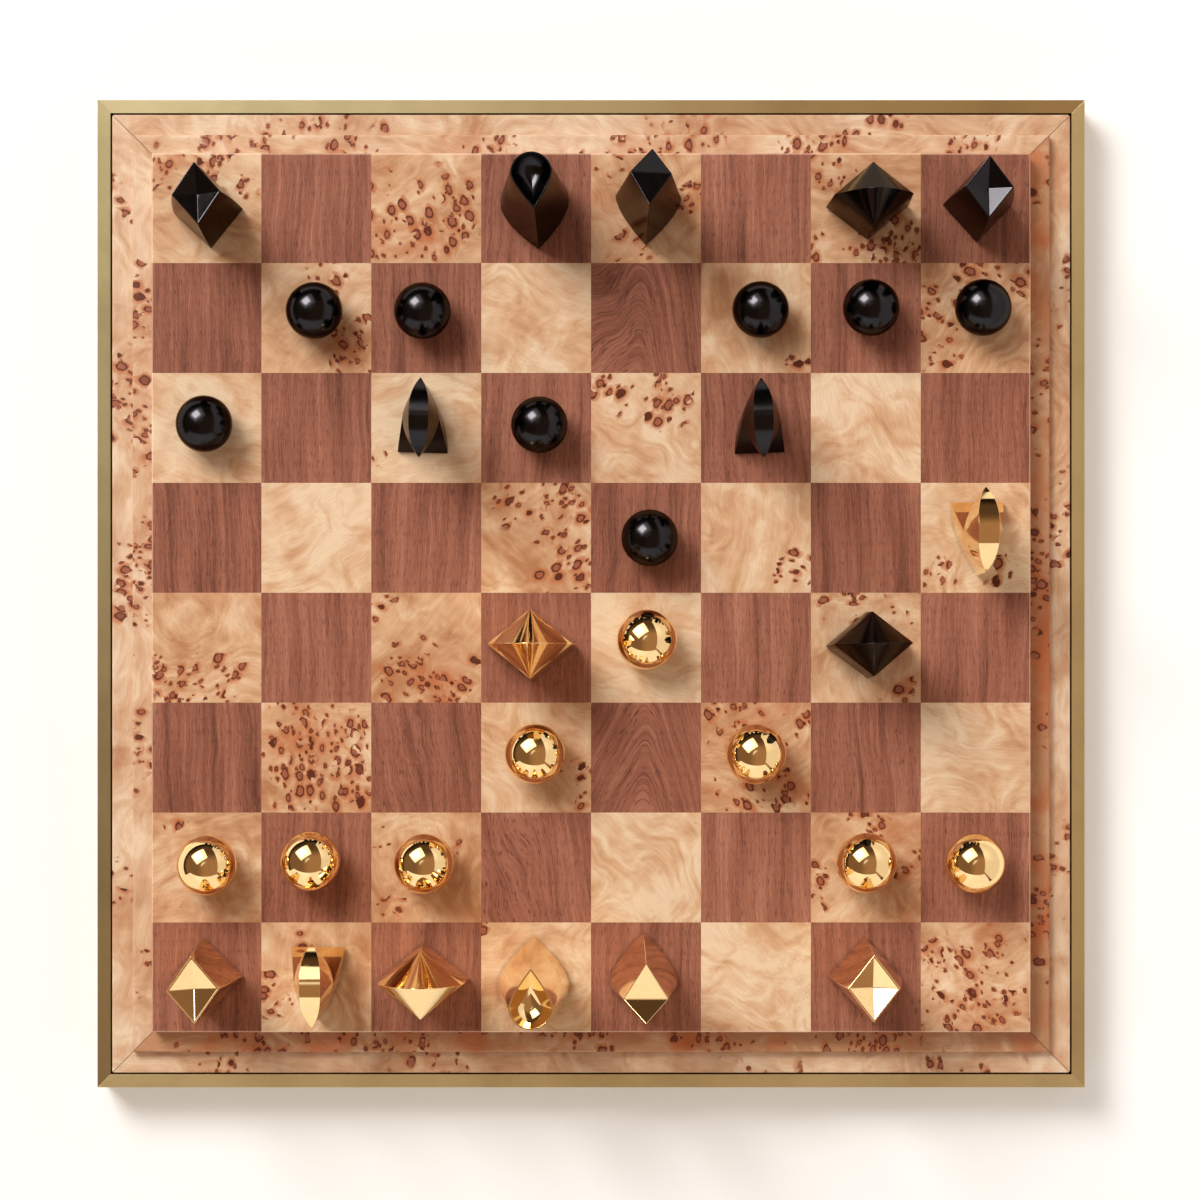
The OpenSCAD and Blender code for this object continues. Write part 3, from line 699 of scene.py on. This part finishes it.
def half_width(s, w, bulge, end):
    """Half the width of an outline at a share of the way to its tip."""
    return w * max(0.0, 1 - s ** bulge) ** (1 / end)


def leaf(w, front, back, y0, z):
    """A closed outline with a tip at each end of Y, from the front tip anticlockwise.
    front and back are (depth, bulge, end); z is a function of the share and the side."""
    def shares(end):
        if end == POINTED:
            return [i / QUARTER for i in range(QUARTER + 1)]
        return [math.sin(math.pi / 2 * i / QUARTER) for i in range(QUARTER + 1)]

    def point(s, half, xs, ys):
        return Vector((xs * half_width(s, w, half[1], half[2]), y0 + ys * half[0] * s, z(s, ys)))

    f, b = shares(front[2]), shares(back[2])
    ring = [point(s, front, 1, -1) for s in reversed(f[1:])]
    ring += [point(s, back, 1, 1) for s in b]
    ring += [point(s, back, -1, 1) for s in reversed(b[:-1])]
    ring += [point(s, front, -1, -1) for s in f[1:-1]]
    return ring


def rhombus(width, depth, y0, z):
    """The four corners of a rhombus, from the front one anticlockwise."""
    return [Vector((0, y0 - depth / 2, z)), Vector((width / 2, y0, z)),
            Vector((0, y0 + depth / 2, z)), Vector((-width / 2, y0, z))]


def between(a, b, steps):
    """Rings from a to b, without b."""
    return [[p.lerp(q, k / steps) for p, q in zip(a, b)] for k in range(steps)]


def cap(n, start, up):
    """Faces straight across a leaf ring."""
    faces = []
    for i in range(n // 2):
        quad = [start + i, start + i + 1, start + (n - i - 1) % n, start + (n - i) % n]
        face = list(dict.fromkeys(quad))
        faces.append(face if up else face[::-1])
    return faces


def loft(name, rings, tip=None):
    """A closed solid through rings, with its top closed across or on a tip."""
    n, last = len(rings[0]), len(rings) - 1
    points = [p for ring in rings for p in ring]
    faces = cap(n, 0, False) if n > 4 else [[3, 2, 1, 0]]
    for k in range(last):
        for i in range(n):
            a, b = k * n + i, k * n + (i + 1) % n
            faces.append([a, b, b + n, a + n])
    if tip is None:
        faces += cap(n, last * n, True)
    else:
        points.append(tip)
        faces += [[last * n + i, last * n + (i + 1) % n, len(points) - 1] for i in range(n)]
    return mesh_of(name, points, faces)


def level(z):
    """A height for leaf() that is the same all round."""
    return lambda s, side: z


def pawn_mesh(name):
    """A ball with a flat turned on its foot, as a turned profile."""
    r, flat = 11.5, 5.4
    sink = r - math.sqrt(r * r - flat * flat)
    low = math.asin(flat / r)
    profile = [(flat - 0.25, 0.0), (flat, 0.12)]
    steps, around = 72, 112
    for k in range(1, steps):
        a = low + (math.pi - low) * k / steps
        profile.append((r * math.sin(a), r - sink - r * math.cos(a)))
    points = [Vector((0, 0, 0))]
    for rad, z in profile:
        points += [Vector((rad * math.cos(2 * math.pi * i / around),
                           rad * math.sin(2 * math.pi * i / around), z)) for i in range(around)]
    points.append(Vector((0, 0, 2 * r - sink)))
    faces = [[0, 1 + (i + 1) % around, 1 + i] for i in range(around)]
    for k in range(len(profile) - 1):
        for i in range(around):
            a, b = 1 + k * around + i, 1 + k * around + (i + 1) % around
            faces.append([a, b, b + around, a + around])
    top = 1 + (len(profile) - 1) * around
    faces += [[top + i, top + (i + 1) % around, len(points) - 1] for i in range(around)]
    return mesh_of(name, points, faces)


def rook_mesh(name):
    """A rhombic column with a four-sided pocket in its top."""
    foot, rim, high, pocket = ROOK_FOOT, (19.4, 25.0), 44.0, 4.0
    lean, swell, lip = 1.0, 1.0, (1.2, 1.6)
    steps = 12
    rings = []
    for k in range(steps + 1):
        s = k / steps
        bow = 4 * swell * s * (1 - s)
        rings.append(rhombus(foot[0] + (rim[0] - foot[0]) * s + bow,
                             foot[1] + (rim[1] - foot[1]) * s + bow, lean * s, high * s))
    rings.append(rhombus(rim[0] - lip[0], rim[1] - lip[1], lean, high))
    return loft(name, rings, Vector((0, lean, high - pocket)))


def bishop_mesh(name):
    """A wide rhombic block under an arched ridge."""
    foot, rim, high, rise = BISHOP_FOOT, (31.8, 26.0), 34.0, 18.5
    steps, rows = 56, (0.25, 0.5, 0.75, 0.92)
    points = rhombus(*foot, 0, 0) + rhombus(*rim, 0, high)
    faces = [[3, 2, 1, 0]]
    ridge = []
    for i in range(steps + 1):
        x = 1 - 2 * i / steps
        ridge.append(Vector((x * rim[0] / 2, 0, high + rise * (1 - x * x))))
    peak = [5] + list(range(len(points), len(points) + steps - 1)) + [7]
    points += ridge[1:-1]
    for corner, low, back in ((6, 2, True), (4, 0, False)):
        above, right, left = peak, [5], [7]
        for row in rows:
            start = len(points)
            points += [p.lerp(points[corner], row) for p in ridge]
            here = list(range(start, start + steps + 1))
            right.append(here[0])
            left.append(here[-1])
            for i in range(steps):
                quad = [above[i], above[i + 1], here[i + 1], here[i]]
                faces.append(quad if not back else quad[::-1])
            above = here
        for i in range(steps):
            tri = [above[i], above[i + 1], corner]
            faces.append(tri if not back else tri[::-1])
        for side, end in ((right, 1), (left, 3)):
            wall = [end, low, corner] + side[::-1]
            faces.append(wall if back == (end == 1) else wall[::-1])
    return faced_outward(mesh_of(name, points, faces))


def knight_mesh(name):
    """A half-lens foot under a longer lens-shaped crest, cut away below the nose."""
    foot_w, foot_l = KNIGHT_FOOT
    head_w, head_l = 15.0, 32.0
    band_w, chin, tip_h, rise = 7.8, 23.0, 31.0, 11.0
    past, nose_t = 0.6, 2.0
    front, back = -foot_l / 2, foot_l / 2
    head_half = head_l / 2
    head_y, nose_y = back - head_half, back - head_l
    foot = leaf(foot_w / 2, (-0.3 * nose_y, 2, POINTED), (foot_l + past, 2, POINTED),
                front - past, level(0))
    cheek = leaf(head_w / 2, (head_half - past / 2, 2, POINTED),
                 (head_half + past / 2, 1.7, POINTED), head_y - past / 2,
                 lambda s, side: chin - (past * (1 + s) if side < 0 else 0))
    crest = leaf(band_w / 2, (head_half, 3, POINTED), (head_half, 3, POINTED), head_y,
                 lambda s, side: tip_h + rise * (1 - s * s))
    body = loft(name, between(foot, cheek, 6) + between(cheek, crest, 8) + [crest])
    nose_rise = (tip_h - nose_t - chin) / head_half
    lean = (head_y - front) / chin
    reach = head_l
    side = [(front - lean, -1), (head_y, chin), (head_y - reach, chin + nose_rise * reach),
            (head_y - reach, -1)]
    cutter = mesh_of("cutter", [Vector((x, y, z)) for x in (-reach, reach) for y, z in side],
                     [[0, 1, 2, 3], [7, 6, 5, 4], [0, 4, 5, 1], [1, 5, 6, 2], [2, 6, 7, 3],
                      [3, 7, 4, 0]])
    faced_outward(cutter)
    shade(body, 28)
    head = bpy.data.objects.new("knight_tmp", body)
    tool = bpy.data.objects.new("cutter_tmp", cutter)
    for o in (head, tool):
        bpy.context.scene.collection.objects.link(o)
    mod = head.modifiers.new("cut", "BOOLEAN")
    mod.operation, mod.solver, mod.object = "DIFFERENCE", "EXACT", tool
    made = bpy.data.meshes.new_from_object(
        head.evaluated_get(bpy.context.evaluated_depsgraph_get()))
    made.name = name
    for o in (head, tool):
        bpy.data.objects.remove(o)
    return made


def queen_mesh(name):
    """A drop-shaped column with a scoop in its top."""
    foot, rim = QUEEN_FOOT, (16.4, 14.2, 8.3)
    lean, high, scoop, lip = 3.2, 62.0, 5.0, 0.93
    low = leaf(foot[0] / 2, (foot[1], 1.6, POINTED), (foot[2], 2, ROUNDED), 0, level(0))

    def ring(k, z):
        return leaf(rim[0] / 2 * k, (rim[1] * k, 1.35, POINTED), (rim[2] * k, 2, ROUNDED),
                    lean, level(z))

    steps = 16
    dish = []
    for i in range(steps):
        k = 1 - i / steps
        dish.append(ring(k * lip, high - scoop * (1 - k * k)))
    top = ring(1, high)
    return loft(name, between(low, top, 10) + [top] + dish, Vector((0, lean, high - scoop)))


def king_mesh(name):
    """A kite-shaped column with a V valley across its top."""
    foot, rim, lean, valley, rise = KING_FOOT, (16.4, 13.4, 8.6), 1.6, 57.0, 5.5
    low = leaf(foot[0] / 2, (foot[1], 1.5, POINTED), (foot[2], 1.5, POINTED), 0, level(0))
    top = leaf(rim[0] / 2, (rim[1], 1, POINTED), (rim[2], 1, POINTED), lean,
               lambda s, side: valley + rise * s)
    return loft(name, between(low, top, 10) + [top])


# The felt pads in mm: thickness, gap above, gap below and how far they stay inside the foot
FELT_T, GLUE, REST_GAP, FELT_INSET = 1.0, 0.05, 0.05, 0.9
MESHES = {"pawn": pawn_mesh, "rook": rook_mesh, "knight": knight_mesh, "bishop": bishop_mesh,
          "queen": queen_mesh, "king": king_mesh}
SIZES = {"black": 1.0, "gold": 1.07}

# The position: kind, file, rank, offset in the square in mm, turn in degrees
SETUP = {
    "black_rook_a": ("rook", "a", 8, 1, -1.5, 4),
    "black_queen": ("queen", "d", 8, -0.6, 1.6, 5),
    "black_king": ("king", "e", 8, 1, 4, -3),
    "black_bishop_f": ("bishop", "g", 8, 0.5, 0.5, 1),
    "black_rook_h": ("rook", "h", 8, 0.5, 1, -1),
    "black_knight_b": ("knight", "c", 6, -1, 3.7, -1.5),
    "black_knight_g": ("knight", "f", 6, 1, 3.6, 2),
    "black_bishop_c": ("bishop", "g", 4, 0.3, 1, 1.5),
    "black_pawn_a": ("pawn", "a", 6, 0.3, 0.8, 0),
    "black_pawn_b": ("pawn", "b", 7, 0, 1.8, 0),
    "black_pawn_c": ("pawn", "c", 7, -1, 1.7, 0),
    "black_pawn_d": ("pawn", "d", 6, 1.5, 0.4, 0),
    "black_pawn_e": ("pawn", "e", 5, 1.3, -0.5, 0),
    "black_pawn_f": ("pawn", "f", 7, 1.4, 2.2, 0),
    "black_pawn_g": ("pawn", "g", 7, 1.3, 3, 0),
    "black_pawn_h": ("pawn", "h", 7, 1.8, 3, 0),
    "gold_rook_a": ("rook", "a", 1, 0, 0, 3),
    "gold_knight_b": ("knight", "b", 1, 1, -2.4, 0),
    "gold_bishop_c": ("bishop", "c", 1, -0.5, 0, 0),
    "gold_queen": ("queen", "d", 1, -1, -2.8, 0),
    "gold_king": ("king", "e", 1, -1, -1.8, 0),
    "gold_rook_h": ("rook", "g", 1, -0.5, 0.5, 0),
    "gold_knight_g": ("knight", "h", 5, 0.3, -0.5, 0),
    "gold_bishop_f": ("bishop", "d", 4, -1.8, 1, 0),
    "gold_pawn_a": ("pawn", "a", 2, 1.4, 1.5, 0),
    "gold_pawn_b": ("pawn", "b", 2, -1.5, 3.1, 0),
    "gold_pawn_c": ("pawn", "c", 2, -0.4, 2.2, 0),
    "gold_pawn_d": ("pawn", "d", 3, -0.3, 1.7, 0),
    "gold_pawn_e": ("pawn", "e", 4, 0.1, 3.1, 0),
    "gold_pawn_f": ("pawn", "f", 3, -0.5, 1.6, 0),
    "gold_pawn_g": ("pawn", "g", 2, -0.7, 2.4, 0),
    "gold_pawn_h": ("pawn", "h", 2, -1.5, 2.2, 0),
}


def felt_mesh(name, kind):
    """The felt pad under a piece."""
    inset = FELT_INSET
    if kind == "pawn":
        ring = [Vector((PAWN_FELT_R * math.cos(a), PAWN_FELT_R * math.sin(a), 0))
                for a in (2 * math.pi * i / 64 for i in range(64))]
    elif kind in ("rook", "bishop"):
        wide, deep = ROOK_FOOT if kind == "rook" else BISHOP_FOOT
        ring = rhombus(wide - 3 * inset, deep - 3 * inset, 0, 0)
    elif kind == "knight":
        wide, deep = KNIGHT_FOOT
        front = inset - deep / 2
        ring = leaf(wide / 2 - inset, (0.001, 2, POINTED), (deep - 3 * inset, 2, POINTED), front,
                    level(0))
        ring = [p for p in ring if p.y >= front]
    else:
        wide, deep, back = QUEEN_FOOT if kind == "queen" else KING_FOOT
        bulge, back_bulge, end = (1.6, 2, ROUNDED) if kind == "queen" else (1.5, 1.5, POINTED)
        ring = leaf(wide / 2 - inset, (deep - 2 * inset, bulge, POINTED),
                    (back - 2 * inset, back_bulge, end), 0, level(0))
    n = len(ring)
    points = [p.copy() for p in ring] + [p + Vector((0, 0, FELT_T)) for p in ring]
    faces = [list(range(n))[::-1], list(range(n, 2 * n))]
    faces += [[i, (i + 1) % n, n + (i + 1) % n, n + i] for i in range(n)]
    return mesh_of(name, points, faces)


# ---------------------------------------------------------------- build

burl_square = burl("burl_squares", *BURL_LIGHT, 0.22)
burl_rail = burl("burl_ledges", *BURL_RAIL, 0.4)
walnut_square = walnut("walnut_squares")
# Lit and shaded copies of one brass: the west band's colour is darkened most as painted shade, the
# north and east bands a little
brass = {side: brushed("brushed_brass_" + side, along, rough, painted_brightness)
         for side, along, rough, painted_brightness in (("north", 0, 0.14, 0.95), ("west", 1, 0.22, 0.7),
                                            ("south", 0, 0.33, 1.0), ("east", 1, 0.3, 0.95))}
metal = {"black": black_plate(), "gold": gold()}
felt_black = felt()
rubber_black = rubber()
zinc = steel()
board_brown = fibreboard("fibreboard", srgb(176, 140, 98), srgb(140, 104, 68))
key_wood = fibreboard("key_wood", srgb(168, 124, 84), srgb(132, 92, 58))


# Thickness of the edge strips, and the radius of the board's corners in plan
STRIP_T = 0.8 * MM
BOARD_CORNER = 1.2 * MM


def finish_piece(obj, body, slot, *nodes):
    """Tells the frame which body a piece rides on and hides the CAD nodes it replaces; slot is not
    used.
    """
    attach(obj, body)
    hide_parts(*nodes)


finish_piece(playing_squares("burl_tiles", 0, burl_square), "board", "light_veneer",
             "light_squares")
finish_piece(playing_squares("walnut_tiles", 1, walnut_square), "board", "dark_veneer",
             "dark_squares")
for side, turn in SIDES.items():
    strip = mitred_rail("edge_strip_" + side, play_half - STRIP_T, play_half, strip_low, veneer_low,
                        turn, burl_rail, INNER_EYES[side], 40.0 + turn, 0.5, radius=0.02 * MM)
    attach(strip, "board")
    if side == "north":
        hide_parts("edge_strips")
for number, (side, turn) in enumerate(SIDES.items()):
    rail = mitred_rail("inner_ledge_" + side, play_half, inner_half, strip_low, inner_top, turn,
                       burl_rail, INNER_EYES[side], 50.0 + number, INNER_WARMTH_AND_SHADE[side])
    finish_piece(rail, "board", "burl_frame", "inner_rail_" + side)
    rail = mitred_rail("outer_ledge_" + side, inner_half, outer_half, strip_low, outer_top, turn,
                       burl_rail, OUTER_EYES[side], 60.0 + number, OUTER_WARMTH[side],
                       corner=BOARD_CORNER, radius=0.5 * MM)
    finish_piece(rail, "board", "burl_frame", "outer_rail_" + side)
    node = "brass_band_" + side
    band = add_object("band_" + side, refined(node, "band_" + side, 0.35 * MM), brass[side])
    finish_piece(band, "board", "brass", node)
feet = add_object("board_feet", refined("rubber_feet", "board_feet", 0.25 * MM, 30.0),
                  rubber_black)
finish_piece(feet, "board", "rubber", "rubber_feet")
for names, material in (
    (("base_panel", "core_panel"), board_brown),
    (("inner_mitre_keys", "outer_mitre_keys"), key_wood),
    (("core_screws", "band_screws", "foot_screws"), zinc),
):
    for name in names:
        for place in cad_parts[name].material_slots:
            place.material = material

made = {}
for kind, make in MESHES.items():
    for colour, size in SIZES.items():
        body = make(kind + "_" + colour)
        body.transform(Matrix.Scale(size * MM, 4))
        if kind == "pawn":
            shade(body, 30)
        else:
            body = bevelled(body, 0.25 * MM)
        pad = felt_mesh(kind + "_felt_" + colour, kind)
        pad.transform(Matrix.Scale(size * MM, 4))
        pad = bevelled(pad, 0.2 * MM, 50.0, 2)
        body.materials.clear()
        pad.materials.clear()
        body.materials.append(metal[colour])
        pad.materials.append(felt_black)
        made[kind, colour] = (body, pad)

for name, (kind, file, rank, dx, dy, turn) in SETUP.items():
    colour = name.split("_")[0]
    size = SIZES[colour]
    body, pad = made[kind, colour]
    at = Vector(((FILES.index(file) - 3.5) * square + dx * MM,
                 (rank - 4.5) * square + dy * MM, play_top + REST_GAP * MM))
    spin = math.radians(turn + (180 if colour == "gold" else 0))
    for obj, lift in ((add_object(name + "_metal", body), (FELT_T + GLUE) * size * MM),
                      (add_object(name + "_felt", pad), 0.0)):
        obj.location = at + Vector((0, 0, lift))
        obj.rotation_euler = (0, 0, spin)
        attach(obj, name)
        if lift:
            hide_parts(name)

# ---------------------------------------------------------------- stage


def emitter(name, corners, colour, strength):
    """A glowing card that lights the set and shows in reflections, but not to the camera."""
    card = add_object(name, mesh_of(name, corners, [[0, 1, 2, 3]]))
    t = Tree(name)
    t.set(Base_Color=(0, 0, 0, 1), Emission_Color=colour, Emission_Strength=strength)
    card.data.materials.append(t.material)
    card.visible_camera = False
    card.visible_shadow = False


def softbox(name, at, aim, size_x, size_y, power, colour):
    """A soft rectangular light."""
    data = bpy.data.lights.new(name, "AREA")
    data.shape, data.size, data.size_y = "RECTANGLE", size_x, size_y
    data.energy, data.color = power, colour
    light = bpy.data.objects.new(name, data)
    light.location = at
    light.rotation_euler = (Vector(aim) - Vector(at)).to_track_quat("-Z", "Y").to_euler()
    light.visible_camera = False
    bpy.context.scene.collection.objects.link(light)


middle = Vector((0, 0, play_top))
# The key light stands KEY_FAR away: a bright core inside a wider glow. Each has its direction,
# its width and height as shares of KEY_FAR, and its power for a distance of 1 m.
KEY_FAR = 3.2
KEYS = {"key_core": ((-0.47, 0.55, 0.69), 0.44, 0.46, 7.0),
        "key_surround": ((-0.40, 0.56, 0.73), 0.9, 0.8, 2.7)}
for name, (way, wide, high, power) in KEYS.items():
    softbox(name, middle + Vector(way).normalized() * KEY_FAR, middle, wide * KEY_FAR,
            high * KEY_FAR, power * KEY_FAR * KEY_FAR, (1.0, 0.99, 0.98))
emitter("card_east", [(0.50, -0.45, 0.0), (0.50, 1.6, 0.0), (0.50, 1.6, 0.62),
                      (0.50, -0.45, 0.62)], (1.0, 0.93, 0.9, 1.0), 0.72)
emitter("card_south", [(-1.6, -0.78, 0.0), (0.70, -0.78, 0.0), (0.70, -0.78, 0.8),
                       (-1.6, -0.78, 0.8)], (1.0, 0.97, 0.95, 1.0), 0.86)

CEILING, SKYLIGHT = (0.34, 0.22, 0.145, 1.0), (0.95, 0.93, 0.95, 1.0)


def studio_world():
    """A brown ceiling that darkens toward the horizon, the north and the west, with a pale glow
    just off its top."""
    world = bpy.data.worlds.new("studio")
    world.use_nodes = True
    t = Nodes(world.node_tree)
    x, y, z = t.split(t.put("TexCoord", {}, out="Generated"))
    west = t.span(x, -0.55, 0.05, 0.6, 1.0)
    north = t.span(y, 0.25, 0.85, 1.0, 0.3)
    horizon = t.span(z, 0.02, 0.3, 0.12, 1.0)
    share = t.math("MULTIPLY", t.math("MULTIPLY", west, north), horizon)
    back = t.tree.nodes["Background"]
    t.tree.links.new(share, back.inputs["Strength"])
    glow = t.math("MULTIPLY", t.span(z, 0.955, 0.98), t.span(t.math("SUBTRACT", y, x), 0.1, 0.32))
    t.tree.links.new(t.mix(glow, CEILING, SKYLIGHT), back.inputs["Color"])
    return world


bpy.context.scene.world = studio_world()

FLOOR_HALF = 12.0
floor_corners = [(x * FLOOR_HALF, y * FLOOR_HALF, 0) for x, y in ((-1, -1), (1, -1), (1, 1), (-1, 1))]
floor = add_object("floor", mesh_of("floor", floor_corners, [[0, 1, 2, 3]]))
floor_look = Tree("pale_floor")
floor_look.set(Base_Color=(0.8, 0.8, 0.79, 1.0), Roughness=0.9, Specular_IOR_Level=0.1,
               Emission_Color=(1.0, 0.99, 0.97, 1.0), Emission_Strength=0.1)
floor.data.materials.append(floor_look.material)

# ---------------------------------------------------------------- camera

camera = bpy.data.objects.new("camera", bpy.data.cameras.new("camera"))
bpy.context.scene.collection.objects.link(camera)
bpy.context.scene.camera = camera
# The camera looks straight down from CAMERA_HIGH above the squares and sees VIEW_WIDE of them
CAMERA_HIGH, VIEW_WIDE, SENSOR_MM = 1.4, 0.49136, 36.0
camera.location = (0.0012, -0.0439, play_top + CAMERA_HIGH)
camera.data.sensor_width = SENSOR_MM
camera.data.lens = SENSOR_MM * CAMERA_HIGH / VIEW_WIDE
camera.data.shift_x = 0.0050
camera.data.shift_y = 0.0833
camera.data.clip_start, camera.data.clip_end = 0.01, 20.0

bpy.context.scene.view_settings.view_transform = "Standard"
bpy.context.scene.view_settings.look = "Medium High Contrast"
